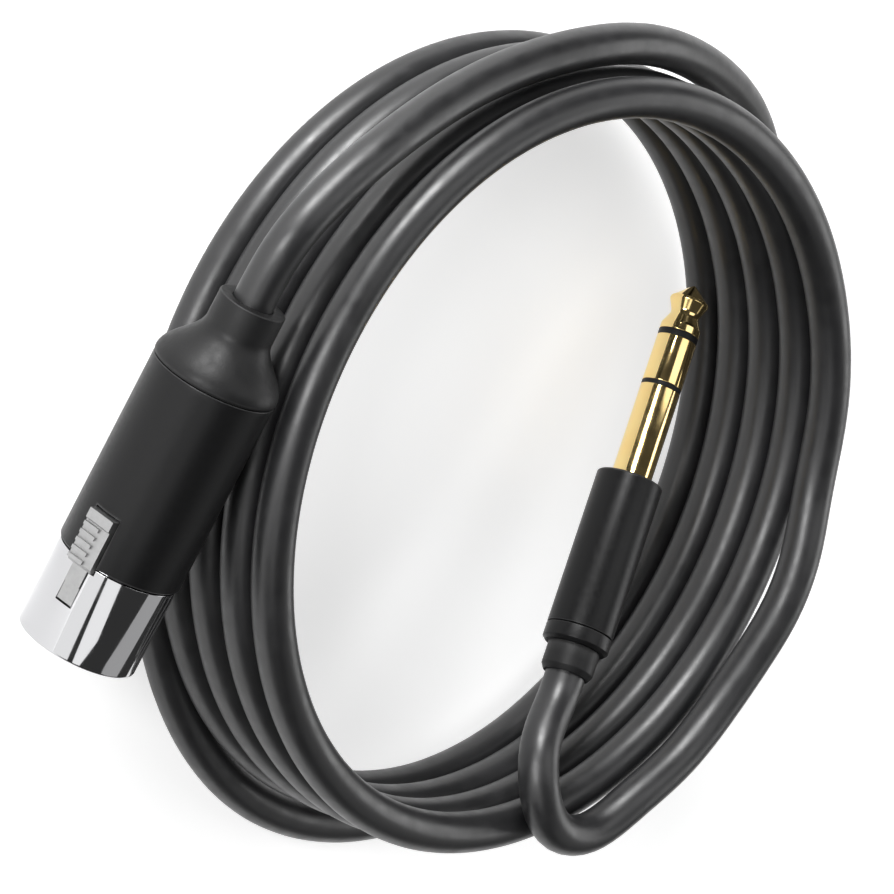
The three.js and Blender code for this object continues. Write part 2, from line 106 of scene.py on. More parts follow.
# XLR connector, millimetres along its own axis from the front rim
XLR_R = 9.35
XLR_SLEEVE_R = 9.65
XLR_NOSE = 14.2
XLR_SLEEVE_END = 45.4
XLR_LENGTH = 58
XLR_WALL = 1.3
XLR_SHELL_END = 32
XLR_SHELL_BACK_R = 8.5  # outside of the shell where it goes into the sleeve
XLR_SHELL_BACK_WALL = 1
XLR_SLEEVE_WALL = 1
BOOT_SEAM = 0.15  # the gap that shows between the sleeve and the boot
BOOT_SPIGOT_R = 8.25  # inside of the boot at the sleeve
BOOT_MOUTH_R = 5.2
BOOT_SWELL = 0.1
BOOT_SWEEP = 7.7  # the length over which the boot narrows to its neck
BOOT_RINGS = 24
INSERT_R = 6.5
INSERT_BACK_R = 7.35
INSERT_FACE = 0.8
INSERT_FLANGE = 14.8
INSERT_END = 19.6
CONTACT_CIRCLE = 3.7
CONTACT_ANGLES = (168, 12, 270)
CONTACT_R = 1.5
CONTACT_BORE = 1.2
CONTACT_CUP_BORE = 1
CONTACT_CUP_DEPTH = 3
CONTACT_DEPTH = 13  # of the bore that takes the pin
CONTACT_SLIT = 0.3
LATCH_WIDTH = 4.5
TONGUE_WIDTH = 2.8
LATCH_FRONT = 7.6
BUTTON_FRONT = 13.6
BUTTON_BACK = 22.3
BUTTON_Y = 10.4
STEP_Y = 9.6
PIVOT = 26
PIVOT_Y = 7
LATCH_UNDERSIDE = 6.7
LATCH_ARM = 1.2  # thickness of the arm behind the button
LATCH_STOP = 0.5  # how far the button's back edge stands up
PIN_R = 0.6
LATCH_RIBS = 5
LATCH_RIB_WIDTH = 2.8
LATCH_RIB_HALF = 0.3  # half a rib's length along the connector
SLOT_FLOOR = 3  # heights inside the shell and the sleeve, where the blocks that cut them start
NOTCH_FLOOR = 5
CLEAR = 12  # a height outside the connector, where those blocks end

# jack, millimetres along its own axis from the point of the tip
JACK_R = 3.175
JACK_TIP_END = 8.1
JACK_RING_START = 9.1
JACK_RING_END = 16.7
JACK_SLEEVE_START = 17.4
JACK_PLUG = 32.4
JACK_SHOULDER_Y = 4.05  # where the record's shoulder mount sits on the housing's front face
JACK_HOUSING_R = 5.25
JACK_COLLAR_START = 57.8
JACK_REAR = 60.4
JACK_RELIEF_END = 64.9
JACK_RELIEF_R = 4.1
JACK_SHOULDER_R = 3.7  # the plug where it is held in the housing
JACK_SHOULDER_END = 35.4
JACK_HOUSING_BORE = 4.65
JACK_COLLAR_BORE = 3.6
WASHER_R = 3.145

# the plug's nested tubes: outside radius and rear end of each
ROD_R = 0.8
ROD_END = 40
INNER_TUBE_R = 1.3
INNER_TUBE_END = 38.4
RING_TUBE_R = 1.8
RING_TUBE_END = 37
OUTER_TUBE_R = 2.3
OUTER_TUBE_END = 36.6
TUBE_GAP = 0.15
WASHER_GAP = 0.02

GAP = 0.3  # in front of and behind the latch, round its pin, and before the sleeve
LATCH_GAP = 0.12  # beside the latch
SIDES = 128
SMALL_SIDES = 48
ARC_STEPS = 5
SHARP_ANGLE = math.radians(32)
CABLE_SHARP_ANGLE = math.radians(50)

# camera
CAMERA_EYE = COIL_CENTRE + Vector((-0.9234, 0, 0.7846))
CAMERA_AIM = COIL_CENTRE + Vector((-0.00465, -0.00312, 0.01259))
CAMERA_ROLL = 112.574  # degrees, clockwise from level
CAMERA_SENSOR = 36  # millimetres
CAMERA_LENS = 320.2

# light: (azimuth, elevation) in degrees, distance, (width, height), brightness
WORLD_BRIGHTNESS = 0.05
FLOOR_GLOW = 0.55
SOFTBOXES = {
    "wall": ((204, 4), 1.6, (1.5, 1.3), 1.3),
    "upper": ((222, 42), 1.5, (0.9, 0.55), 1.4),
    "side": ((335, 40), 1.3, (1.2, 0.7), 0.5),
    "front": ((182, 24), 1.6, (0.5, 0.6), 16),
    "key": ((130, 14), 1.1, (0.5, 0.4), 26),
    "top": ((82, 65), 1.1, (0.8, 0.5), 1.6),
    "back": ((20, 30), 1.3, (0.9, 0.6), 3),
}


# ---------------------------------------------------------------- camera

def make_camera():
    forward = (CAMERA_AIM - CAMERA_EYE).normalized()
    level_right = forward.cross(Vector((0, 0, 1))).normalized()
    level_up = level_right.cross(forward)
    roll = math.radians(CAMERA_ROLL)
    right = level_right * math.cos(roll) + level_up * math.sin(roll)
    up = right.cross(forward)
    camera = bpy.data.objects.new("camera", bpy.data.cameras.new("camera"))
    camera.data.sensor_width = CAMERA_SENSOR
    camera.data.lens = CAMERA_LENS
    camera.data.clip_start, camera.data.clip_end = 0.05, 10
    axes = Matrix((right, up, -forward)).transposed().to_4x4()
    camera.matrix_world = Matrix.Translation(CAMERA_EYE) @ axes
    bpy.context.scene.collection.objects.link(camera)
    bpy.context.scene.camera = camera


# ---------------------------------------------------------------- connector frames, from the record

def mount(name):
    found = next(m for m in frame["record"]["mounts"] if m["name"] == name)
    return Vector(found["pos_m"]), Vector(found["axis"])


def placed(origin, side, up, back):
    """The matrix of a connector's own frame: X to its side, Y up, Z back along its axis."""
    return Matrix.Translation(origin) @ Matrix((side, up, back)).transposed().to_4x4()


def xlr_frame():
    point, front = mount("xlr_socket_face")
    back = -front
    hinge = next(j for j in frame["joints"] if j["name"] == "latch_press")
    side = -Vector(hinge["axis"])
    return placed(point - back * INSERT_FACE * MM, side, back.cross(side), back)


def jack_frame():
    point, front = mount("jack_shoulder_face")
    back = -front
    up = Vector((0, 0, 1)) - back * back.z
    up.normalize()
    origin = point - (up * JACK_SHOULDER_Y + back * JACK_PLUG) * MM
    return placed(origin, up.cross(back), up, back)


XLR = xlr_frame()
JACK = jack_frame()


def on_axis(place, along):
    return place @ Vector((0, 0, along * MM))


# ---------------------------------------------------------------- the cable

def smooth(share):
    return share * share * (3 - 2 * share)


def around(degrees, radius, height):
    angle = math.radians(degrees)
    return Vector((radius * math.cos(angle), radius * math.sin(angle), height))


def coil_turns():
    """From the top of the coil round and down to the floor, then out to lie beside the lowest turn."""
    step = 360 / POINTS_PER_TURN
    points = []
    degrees = COIL_TOP_ANGLE + step
    while degrees < COIL_FLOOR_ANGLE:
        height = CABLE_D / 2 + (COIL_FLOOR_ANGLE - degrees) / 360 * COIL_PITCH
        points.append(around(degrees, COIL_R, height))
        degrees += step
    while degrees < RUN_OUT_END - step / 2:
        share = (degrees - COIL_FLOOR_ANGLE) / (RUN_OUT_END - COIL_FLOOR_ANGLE)
        points.append(around(degrees, COIL_R + (RUN_OUT_R - COIL_R) * smooth(share), CABLE_D / 2))
        degrees += step
    return points


def cable_route():
    """The middle of the cable from the XLR boot to the jack, in the row frame."""
    from_xlr = [on_axis(XLR, XLR_LENGTH - 1.5), on_axis(XLR, XLR_LENGTH + 4)]
    lead = [COIL_CENTRE + around(*point) for point in reversed(XLR_LEAD)]
    turns = [COIL_CENTRE + point for point in reversed(coil_turns())]
    to_jack = [COIL_CENTRE + Vector(point) for point in JACK_LEAD]
    at_jack = [on_axis(JACK, JACK_RELIEF_END + 3), on_axis(JACK, JACK_RELIEF_END - 1.5)]
    return from_xlr + lead + turns + to_jack + at_jack


def smooth_line(route, step):
    """Points about step apart on the natural cubic spline through the route."""
    knots = np.array([tuple(point) for point in route])
    gaps = np.linalg.norm(np.diff(knots, axis=0), axis=1)
    slopes = np.diff(knots, axis=0) / gaps[:, None]
    system = np.eye(len(knots))
    change = np.zeros_like(knots)
    for i in range(1, len(knots) - 1):
        system[i, i - 1:i + 2] = gaps[i - 1], 2 * (gaps[i - 1] + gaps[i]), gaps[i]
        change[i] = 6 * (slopes[i] - slopes[i - 1])
    bend = np.linalg.solve(system, change)
    line = []
    for i, gap in enumerate(gaps):
        steps = max(1, round(gap / step))
        for to_next in np.arange(steps) / steps:
            to_last = 1 - to_next
            straight = to_last * knots[i] + to_next * knots[i + 1]
            sag = (to_last**3 - to_last) * bend[i] + (to_next**3 - to_next) * bend[i + 1]
            line.append(Vector(straight + sag * gap**2 / 6))
    return line + [Vector(knots[-1])]


def full_turn(sides):
    return [2 * math.pi * i / sides for i in range(sides)]


def tube_mesh(line, radius, sides):
    """A round tube along a line of points, with flat ends. Its rings don't twist along it."""
    bm = bmesh.new()
    rings = []
    across = Vector((0, 0, 1))
    for before, here, after in zip(line[:1] + line, line, line[1:] + line[-1:]):
        along = (after - before).normalized()
        across = (across - along * across.dot(along)).normalized()
        other = along.cross(across)
        rings.append([
            bm.verts.new(here + (across * math.cos(a) + other * math.sin(a)) * radius)
            for a in full_turn(sides)])
    for one, two in zip(rings, rings[1:]):
        for i in range(sides):
            j = (i + 1) % sides
            bm.faces.new((one[i], one[j], two[j], two[i]))
    bm.faces.new(rings[0])
    bm.faces.new(rings[-1])
    bmesh.ops.recalc_face_normals(bm, faces=bm.faces)
    return made_mesh(bm)


def make_cable(line):
    mesh = tube_mesh(line, CABLE_D / 2, CABLE_SIDES)
    mesh.shade_smooth()
    mesh.set_sharp_from_angle(angle=CABLE_SHARP_ANGLE)
    cable = bpy.data.objects.new("cable", mesh)
    bpy.context.scene.collection.objects.link(cable)
    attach(cable, "cable")
    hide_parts("cable_coil", "cable_xlr_lead", "cable_jack_lead")
    return cable


# ---------------------------------------------------------------- mesh work

def corner_arc(before, here, after, fillet):
    """Points on the arc that rounds the corner at here."""
    to_before, to_after = (before - here).normalized(), (after - here).normalized()
    half = to_before.angle(to_after) / 2
    setback = fillet / math.tan(half)
    centre = here + (to_before + to_after).normalized() * (fillet / math.sin(half))
    start = (here + to_before * setback - centre).normalized()
    end = (here + to_after * setback - centre).normalized()
    return [centre + start.slerp(end, step / ARC_STEPS) * fillet for step in range(ARC_STEPS + 1)]


def rounded(outline):
    """An outline of (along, radius) or (along, radius, fillet) points with its corners rounded.
    It closes on itself unless it starts and ends on the axis."""
    corners = [Vector(point[:2]) for point in outline]
    points = []
    for i, point in enumerate(outline):
        if len(point) == 2:
            points.append(corners[i])
        else:
            following = corners[(i + 1) % len(corners)]
            points += corner_arc(corners[i - 1], corners[i], following, point[2])
    return points


def turned_mesh(outline, sides=SIDES):
    """The solid that an outline in millimetres sweeps round the Z axis."""
    on_the_axis = 1e-7
    bm = bmesh.new()
    rings = []
    for along, radius in (point * MM for point in rounded(outline)):
        if radius < on_the_axis:
            rings.append([bm.verts.new((0, 0, along))])
            continue
        rings.append([
            bm.verts.new((radius * math.cos(a), radius * math.sin(a), along)) for a in full_turn(sides)])
    closed = len(rings[0]) > 1
    pairs = zip(rings, rings[1:] + rings[:1]) if closed else zip(rings, rings[1:])
    for one, two in pairs:
        for i in range(sides):
            j = (i + 1) % sides
            around_face = [one[i % len(one)], one[j % len(one)], two[j % len(two)], two[i % len(two)]]
            bm.faces.new(list(dict.fromkeys(around_face)))
    bmesh.ops.recalc_face_normals(bm, faces=bm.faces)
    return made_mesh(bm)


def made_mesh(bm):
    mesh = bpy.data.meshes.new("mesh")
    bm.to_mesh(mesh)
    bm.free()
    return mesh


def block_mesh(width, low, high, front, back):
    """A block centred on X, from low to high in Y and front to back in Z, in millimetres."""
    bm = bmesh.new()
    bmesh.ops.create_cube(bm, size=1)
    size = Matrix.Diagonal((width * MM, (high - low) * MM, (back - front) * MM, 1))
    centre = Matrix.Translation(Vector((0, (low + high) / 2, (front + back) / 2)) * MM)
    bmesh.ops.transform(bm, matrix=centre @ size, verts=bm.verts)
    return made_mesh(bm)


def plate_mesh(width, outline):
    """A flat outline of (along Z, height Y) points as wide as it is told along X, in millimetres."""
    bm = bmesh.new()
    left = [bm.verts.new(Vector((-width / 2, height, along)) * MM) for along, height in outline]
    face = bm.faces.new(left)
    swept = bmesh.ops.extrude_face_region(bm, geom=[face])
    moved = [v for v in swept["geom"] if isinstance(v, bmesh.types.BMVert)]
    bmesh.ops.translate(bm, vec=(width * MM, 0, 0), verts=moved)
    bmesh.ops.recalc_face_normals(bm, faces=bm.faces)
    return made_mesh(bm)


def cross_bar_mesh(radius, width, height, along):
    """A round bar across X."""
    bm = bmesh.new()
    bmesh.ops.create_cone(
        bm, cap_ends=True, segments=SMALL_SIDES, radius1=radius * MM, radius2=radius * MM,
        depth=width * MM)
    turn = Matrix.Rotation(math.pi / 2, 4, "Y")
    centre = Matrix.Translation(Vector((0, height, along)) * MM)
    bmesh.ops.transform(bm, matrix=centre @ turn, verts=bm.verts)
    return made_mesh(bm)


def with_modifier(mesh, kind, **settings):
    """The mesh after one modifier."""
    carrier = bpy.data.objects.new("carrier", mesh)
    bpy.context.scene.collection.objects.link(carrier)
    modifier = carrier.modifiers.new(kind, kind)
    for name, value in settings.items():
        setattr(modifier, name, value)
    graph = bpy.context.evaluated_depsgraph_get()
    result = bpy.data.meshes.new_from_object(carrier.evaluated_get(graph))
    bpy.data.objects.remove(carrier)
    return result


def combined(mesh, other, operation):
    tool = bpy.data.objects.new("tool", other)
    bpy.context.scene.collection.objects.link(tool)
    result = with_modifier(mesh, "BOOLEAN", object=tool, operation=operation, solver="EXACT")
    bpy.data.objects.remove(tool)
    return result


def cut(mesh, *tools):
    for tool in tools:
        mesh = combined(mesh, tool, "DIFFERENCE")
    return mesh


def joined(mesh, *others):
    for other in others:
        mesh = combined(mesh, other, "UNION")
    return mesh


def softened(mesh, width):
    """The mesh with its sharp edges bevelled."""
    return with_modifier(
        mesh, "BEVEL", width=width * MM, segments=3, limit_method="ANGLE",
        angle_limit=math.radians(35), harden_normals=False)


def mark_edges(mesh):
    """Stores on each vertex how sharply the surface turns outwards there, from 0 to 1."""
    full_wear = math.radians(20)
    bm = bmesh.new()
    bm.from_mesh(mesh)
    layer = bm.verts.layers.float.new("edge")
    for vert in bm.verts:
        turns = [e.calc_face_angle(0) for e in vert.link_edges if e.is_manifold and e.is_convex]
        vert[layer] = min(1, max(turns, default=0) / full_wear)
    bm.to_mesh(mesh)
    bm.free()


def piece(name, mesh, place, slot, replaced, body="cable"):
    """An object of the connector whose frame is place, standing for the CAD nodes it replaces."""
    mesh.name = name
    mark_edges(mesh)
    mesh.shade_smooth()
    mesh.set_sharp_from_angle(angle=SHARP_ANGLE)
    shown = bpy.data.objects.new(name, mesh)
    shown.matrix_world = place
    bpy.context.scene.collection.objects.link(shown)
    mesh.materials.append(MATERIALS[slot])
    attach(shown, body)
    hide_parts(replaced)
    return shown


# ---------------------------------------------------------------- materials

def add(tree, kind, inputs=None, **settings):
    """A node of that kind. inputs gives each input, by name or number, a value or a socket to read."""
    node = tree.nodes.new(kind)
    for name, value in settings.items():
        setattr(node, name, value)
    for key, value in (inputs or {}).items():
        if isinstance(value, bpy.types.NodeSocket):
            tree.links.new(value, node.inputs[key])
        else:
            node.inputs[key].default_value = value
    return node


def new_material(name, colour, roughness, metallic, **shader_values):
    """A material and its shader. Values that are the same all over are set on the shader itself."""
    material = bpy.data.materials.new(name)
    material.use_nodes = True
    shader = material.node_tree.nodes["Principled BSDF"]
    shader.inputs["Base Color"].default_value = (*colour, 1)
    shader.inputs["Roughness"].default_value = roughness
    shader.inputs["Metallic"].default_value = metallic
    for key, value in shader_values.items():
        shader.inputs[key.replace("_", " ")].default_value = value
    return material, material.node_tree, shader


def object_noise(tree, scale, detail=3, stretch=(1, 1, 1)):
    """Noise in the piece's own frame, with a scale per metre, stretched along an axis where told."""
    coordinates = add(tree, "ShaderNodeTexCoord").outputs["Object"]
    mapping = add(tree, "ShaderNodeMapping", {"Vector": coordinates, "Scale": stretch})
    noise = add(tree, "ShaderNodeTexNoise", {
        "Vector": mapping.outputs["Vector"], "Scale": scale, "Detail": detail, "Roughness": 0.5})
    return noise.outputs["Fac"]


def spread(tree, value, low, high, from_low=0.3, from_high=0.7):
    """value from from_low to from_high, mapped to run from low to high."""
    node = add(tree, "ShaderNodeMapRange", {
        "Value": value, "From Min": from_low, "From Max": from_high, "To Min": low, "To Max": high})
    return node.outputs["Result"]


def blend_colours(tree, factor, first, second):
    node = add(tree, "ShaderNodeMix", {0: factor, 6: (*first, 1), 7: (*second, 1)}, data_type="RGBA")
    return node.outputs[2]


def mottled(tree, shader, noise, first, second):
    """Lets the colour drift from the first to the second with the noise."""
    drift = blend_colours(tree, spread(tree, noise, 0, 1), first, second)
    tree.links.new(drift, shader.inputs["Base Color"])


def uneven_gloss(tree, shader, noise, low, high, from_low=0.3, from_high=0.7):
    """Lets the roughness drift from low to high with the noise."""
    tree.links.new(spread(tree, noise, low, high, from_low, from_high), shader.inputs["Roughness"])


def bumped(tree, shader, height, distance, strength=1.0):
    """Adds a bump of that height, in metres, on top of any that the shader has."""
    inputs = {"Height": height, "Distance": distance, "Strength": strength}
    socket = shader.inputs["Normal"]
    if socket.is_linked:
        inputs["Normal"] = socket.links[0].from_socket
    bump = add(tree, "ShaderNodeBump", inputs)
    tree.links.new(bump.outputs["Normal"], socket)


def worn_colour(tree, shader, colour, worn):
    """The colour, a little lighter where edges have rubbed, in broken patches."""
    most_wear = 0.6
    edge = add(tree, "ShaderNodeAttribute", attribute_name="edge").outputs["Fac"]
    patches = object_noise(tree, 900, detail=5)
    rubbed = add(tree, "ShaderNodeMath", {0: spread(tree, edge, 0, most_wear, 0.5, 1), 1: patches},
                 operation="MULTIPLY").outputs[0]
    tree.links.new(blend_colours(tree, rubbed, colour, worn), shader.inputs["Base Color"])


def jacket_material():
    """Satin black PVC with a faint orange peel and uneven gloss."""
    material, tree, shader = new_material("jacket", (0.009, 0.009, 0.0095), 0.4, 0, Specular_IOR_Level=0.7)
    mottled(tree, shader, object_noise(tree, 60, detail=2), (0.008, 0.008, 0.0085), (0.012, 0.012, 0.013))
    uneven_gloss(tree, shader, object_noise(tree, 350, detail=4), 0.34, 0.46)
    bumped(tree, shader, object_noise(tree, 1400, detail=2), 0.00002, 0.5)
    return material


def shell_material():
    """Satin black coating on metal, with a fine even grain."""
    colour = (0.006, 0.006, 0.0063)
    material, tree, shader = new_material("black_shell", colour, 0.34, 0, Specular_IOR_Level=0.22)
    worn_colour(tree, shader, colour, (0.1, 0.1, 0.1))
    uneven_gloss(tree, shader, object_noise(tree, 1500, detail=5), 0.3, 0.4)
    bumped(tree, shader, object_noise(tree, 7000, detail=2), 0.000006)
    return material


def plastic_material():
    """Matte black moulded plastic with a fine spark-eroded grain."""
    colour = (0.008, 0.008, 0.0083)
    material, tree, shader = new_material("black_plastic", colour, 0.45, 0, Specular_IOR_Level=0.25)
    worn_colour(tree, shader, colour, (0.05, 0.05, 0.05))
    uneven_gloss(tree, shader, object_noise(tree, 700, detail=4), 0.4, 0.52)
    bumped(tree, shader, object_noise(tree, 4500, detail=3), 0.000015)
    return material


def turning_marks(tree, shader, pitch_per_metre, depth):
    """Fine lines round a piece that was turned on a lathe."""
    lines = object_noise(tree, 1, detail=4, stretch=(20, 20, pitch_per_metre))
    bumped(tree, shader, lines, depth)


def nickel_material():
    """Bright nickel plate with faint turning marks and a few soft smears."""
    material, tree, shader = new_material("nickel", (0.54, 0.54, 0.55), 0.07, 1)
    uneven_gloss(tree, shader, object_noise(tree, 220, detail=4), 0.05, 0.11, 0.4, 0.75)
    turning_marks(tree, shader, 5000, 0.0000006)
    return material


def satin_material():
    """Cast and tumbled zinc."""
    material, tree, shader = new_material("satin_metal", (0.36, 0.36, 0.36), 0.38, 1)
    mottled(tree, shader, object_noise(tree, 1200, detail=5), (0.34, 0.34, 0.34), (0.38, 0.38, 0.38))
    uneven_gloss(tree, shader, object_noise(tree, 2500, detail=3), 0.34, 0.48)
    bumped(tree, shader, object_noise(tree, 5000, detail=3), 0.000004)
    return material


def gold_material():
    """Polished gold plate with turning marks."""
    material, tree, shader = new_material("gold", (0.97, 0.73, 0.32), 0.12, 1)
    mottled(tree, shader, object_noise(tree, 150, detail=3), (0.95, 0.69, 0.29), (0.98, 0.76, 0.35))
    uneven_gloss(tree, shader, object_noise(tree, 500, detail=4), 0.09, 0.16)
    turning_marks(tree, shader, 6000, 0.0000006)
    return material


def plain_metal(name, colour, roughness):
    """A small inner metal part with an uneven tarnish."""
    material, tree, shader = new_material(name, colour, roughness, 1)
    dull = tuple(0.7 * c for c in colour)
    mottled(tree, shader, object_noise(tree, 900), colour, dull)
    bumped(tree, shader, object_noise(tree, 5000), 0.00001)
    return material


def insulation(name, colour):
    """Thin coloured wire insulation."""
    material, tree, shader = new_material(name, colour, 0.45, 0)
    dusty = tuple(0.85 * c for c in colour)
    mottled(tree, shader, object_noise(tree, 1500), colour, dusty)
    bumped(tree, shader, object_noise(tree, 4000), 0.00001)
    return material


MATERIALS = {
    "jacket": jacket_material(),
    "black_shell": shell_material(),
    "black_plastic": plastic_material(),
    "nickel": nickel_material(),
    "satin_metal": satin_material(),
    "gold": gold_material(),
    "tag_brass": plain_metal("tag_brass", (0.62, 0.46, 0.2), 0.35),
    "copper": plain_metal("copper", (0.75, 0.38, 0.22), 0.35),
    "red_insulation": insulation("red_insulation", (0.4, 0.03, 0.02)),
    "white_insulation": insulation("white_insulation", (0.7, 0.7, 0.66)),
}

# CAD nodes that stay as they are, by the slot that they take their finish from
KEPT_NODES = {
    "satin_metal": ("xlr_latch_pin", "xlr_latch_spring"),
    "black_plastic": ("xlr_cable_chuck", "jack_liner"),
    "jacket": ("xlr_cable_end", "jack_cable_end"),
    "copper": ("xlr_wire_shield", "jack_wire_shield"),
    "red_insulation": ("xlr_wire_hot", "jack_wire_tip"),
    "white_insulation": ("xlr_wire_cold", "jack_wire_ring"),
    "tag_brass": ("jack_tip_lug", "jack_ring_lug", "jack_cable_clamp"),
}


def finish_kept_nodes():
    for slot, names in KEPT_NODES.items():
        for name in names:
            node = frame["nodes"][name]
            node.data.materials.clear()
            node.data.materials.append(MATERIALS[slot])


# ---------------------------------------------------------------- XLR connector

def nose_shell():
    inner = XLR_R - XLR_WALL
    back_inner = XLR_SHELL_BACK_R - XLR_SHELL_BACK_WALL
    tube = turned_mesh([
        (0, inner, 0.3),
        (0, XLR_R, 0.4),
        (LATCH_FRONT - 0.8, XLR_R),
        (XLR_NOSE, XLR_R, 0.05),
        (XLR_NOSE, XLR_SHELL_BACK_R),
        (XLR_SHELL_END, XLR_SHELL_BACK_R, 0.2),
        (XLR_SHELL_END, back_inner, 0.2),
        (INSERT_FLANGE - 0.15, back_inner),
        (INSERT_FLANGE - 1, inner),
    ])
    tongue_slot = block_mesh(
        TONGUE_WIDTH + 2 * LATCH_GAP, SLOT_FLOOR, CLEAR, LATCH_FRONT - GAP, BUTTON_FRONT)
    button_slot = block_mesh(
        LATCH_WIDTH + 2 * LATCH_GAP, SLOT_FLOOR, CLEAR, BUTTON_FRONT - GAP, PIVOT + 2)
    pin_hole = cross_bar_mesh(PIN_R + GAP, CLEAR + 2, PIVOT_Y, PIVOT)
    shell = cut(tube, tongue_slot, button_slot, pin_hole)
    return piece("xlr_nose_barrel", shell, XLR, "nickel", "xlr_nose_shell")


def sleeve():
    inner = XLR_SLEEVE_R - XLR_SLEEVE_WALL
    start = XLR_NOSE + GAP
    tube = turned_mesh([
        (start, inner, 0.1),
        (start, XLR_SLEEVE_R, 0.3),
        (BUTTON_BACK + 0.9, XLR_SLEEVE_R),
        (XLR_SLEEVE_END - 1, XLR_SLEEVE_R),
        (XLR_SLEEVE_END, XLR_SLEEVE_R, 0.15),
        (XLR_SLEEVE_END, inner),
    ])
    notch = block_mesh(
        LATCH_WIDTH + 2 * LATCH_GAP, NOTCH_FLOOR, CLEAR, XLR_NOSE - 2, BUTTON_BACK + GAP)
    return piece("xlr_sleeve_skin", cut(tube, notch), XLR, "black_shell", "xlr_sleeve")


def boot():
    """The boot swells out of the sleeve, then sweeps in to a short neck in an S."""
    start = XLR_SLEEVE_END + BOOT_SEAM
    widest = XLR_SLEEVE_R + BOOT_SWELL
    bell = []
    for i in range(BOOT_RINGS + 1):
        share = i / BOOT_RINGS
        fall = 0.5 - 0.5 * math.cos(math.pi * share)
        bell.append((start + 0.4 + share * BOOT_SWEEP, widest + fall * (BOOT_MOUTH_R - widest)))
    mouth = CABLE_D / 2 / MM + 0.1
    outline = [
        (start, BOOT_SPIGOT_R),
        (start, XLR_SLEEVE_R, 0.2),
        *bell,
        (XLR_LENGTH, BOOT_MOUTH_R, 0.2),
        (XLR_LENGTH, mouth, 0.1),
        (XLR_SLEEVE_END + 7, mouth),
        (XLR_SLEEVE_END + 4, BOOT_SPIGOT_R - 1),
    ]
    return piece("xlr_boot_bell", turned_mesh(outline), XLR, "black_plastic", "xlr_boot")


def contact_place(index):
    angle = math.radians(CONTACT_ANGLES[index])
    return Matrix.Translation(Vector((math.cos(angle), math.sin(angle), 0)) * CONTACT_CIRCLE * MM)


def insert():
    body = turned_mesh([
        (INSERT_FACE, 0),
        (INSERT_FACE, INSERT_R, 0.35),
        (INSERT_FLANGE, INSERT_R),
        (INSERT_FLANGE, INSERT_BACK_R),
        (INSERT_END, INSERT_BACK_R),
        (INSERT_END, 0),
    ])
    channel = block_mesh(LATCH_WIDTH + 1, LATCH_UNDERSIDE - 2, CLEAR, LATCH_FRONT - 1.4, INSERT_END + 1)
    holes = []
    for index in range(len(CONTACT_ANGLES)):
        hole = turned_mesh([
            (INSERT_FACE - 1, 0),
            (INSERT_FACE - 1, CONTACT_R + 1),
            (INSERT_FACE + 0.7, CONTACT_R + 0.1),
            (INSERT_END + 1, CONTACT_R + 0.1),
            (INSERT_END + 1, 0),
        ], SMALL_SIDES)
        hole.transform(contact_place(index))
        holes.append(hole)
    return piece("xlr_insert_body", cut(body, channel, *holes), XLR, "black_plastic", "xlr_insert")


def contact(index):
    """A socket contact: a split sprung tube at the front and a solder cup at the back."""
    front = INSERT_FACE + 0.7
    back = INSERT_END + 4
    hairline = 0.01  # radius of the hole left through the web between its two bores
    mesh = turned_mesh([
        (front, CONTACT_BORE, 0.1),
        (front, CONTACT_R, 0.1),
        (back, CONTACT_R),
        (back, CONTACT_CUP_BORE),
        (back - CONTACT_CUP_DEPTH, CONTACT_CUP_BORE),
        (back - CONTACT_CUP_DEPTH, hairline),
        (front + CONTACT_DEPTH, hairline),
        (front + CONTACT_DEPTH, CONTACT_BORE),
    ], SMALL_SIDES)
    mesh = cut(mesh, block_mesh(CONTACT_SLIT, 0, 2, front - 1, front + 7))
    mesh.transform(contact_place(index))
    return piece(f"xlr_socket_{index + 1}", mesh, XLR, "gold", f"xlr_contact_{index + 1}")


def latch():
    """One lever: an eye at the pivot, a ribbed button and a narrower stepped tongue in front of it."""
    low, top, step = LATCH_UNDERSIDE, BUTTON_Y, STEP_Y
    lever = plate_mesh(LATCH_WIDTH, [
        (BUTTON_FRONT, low),
        (PIVOT, low),
        (PIVOT, low + LATCH_ARM),
        (BUTTON_BACK, low + LATCH_ARM),
        (BUTTON_BACK, top + LATCH_STOP),
        (BUTTON_BACK - 1.6, top + LATCH_STOP),
        (BUTTON_BACK - 1.9, top),
        (BUTTON_FRONT + 0.6, top),
        (BUTTON_FRONT, top - 0.5),
    ])
    tongue = plate_mesh(TONGUE_WIDTH, [
        (LATCH_FRONT, low + 0.4),
        (LATCH_FRONT + 0.6, low),
        (BUTTON_FRONT + 1, low),
        (BUTTON_FRONT + 1, step),
        (BUTTON_FRONT - 3, step),
        (BUTTON_FRONT - 3, step - 0.3),
        (LATCH_FRONT, step - 0.4),
    ])
    pitch = (BUTTON_BACK - 2 - BUTTON_FRONT) / LATCH_RIBS
    ribs = []
    for i in range(LATCH_RIBS):
        along = BUTTON_FRONT + 0.2 + (i + 0.5) * pitch
        rib = block_mesh(
            LATCH_RIB_WIDTH, top - 0.6, top + 0.4, along - LATCH_RIB_HALF, along + LATCH_RIB_HALF)
        rib.transform(Matrix.Translation(((LATCH_WIDTH - LATCH_RIB_WIDTH - 0.1) / 2 * MM, 0, 0)))
        ribs.append(rib)
    boss = cross_bar_mesh(PIN_R + 0.6, LATCH_WIDTH, PIVOT_Y, PIVOT)
    eye = cross_bar_mesh(PIN_R + 0.1, LATCH_WIDTH + 2, PIVOT_Y, PIVOT)
    shape = softened(cut(joined(lever, tongue, boss, *ribs), eye), 0.12)
    return piece("xlr_latch_lever", shape, XLR, "satin_metal", "xlr_latch", body="latch")


def xlr_connector():
    nose_shell()
    sleeve()
    boot()
    insert()
    for index in range(len(CONTACT_ANGLES)):
        contact(index)
    latch()


# ---------------------------------------------------------------- jack

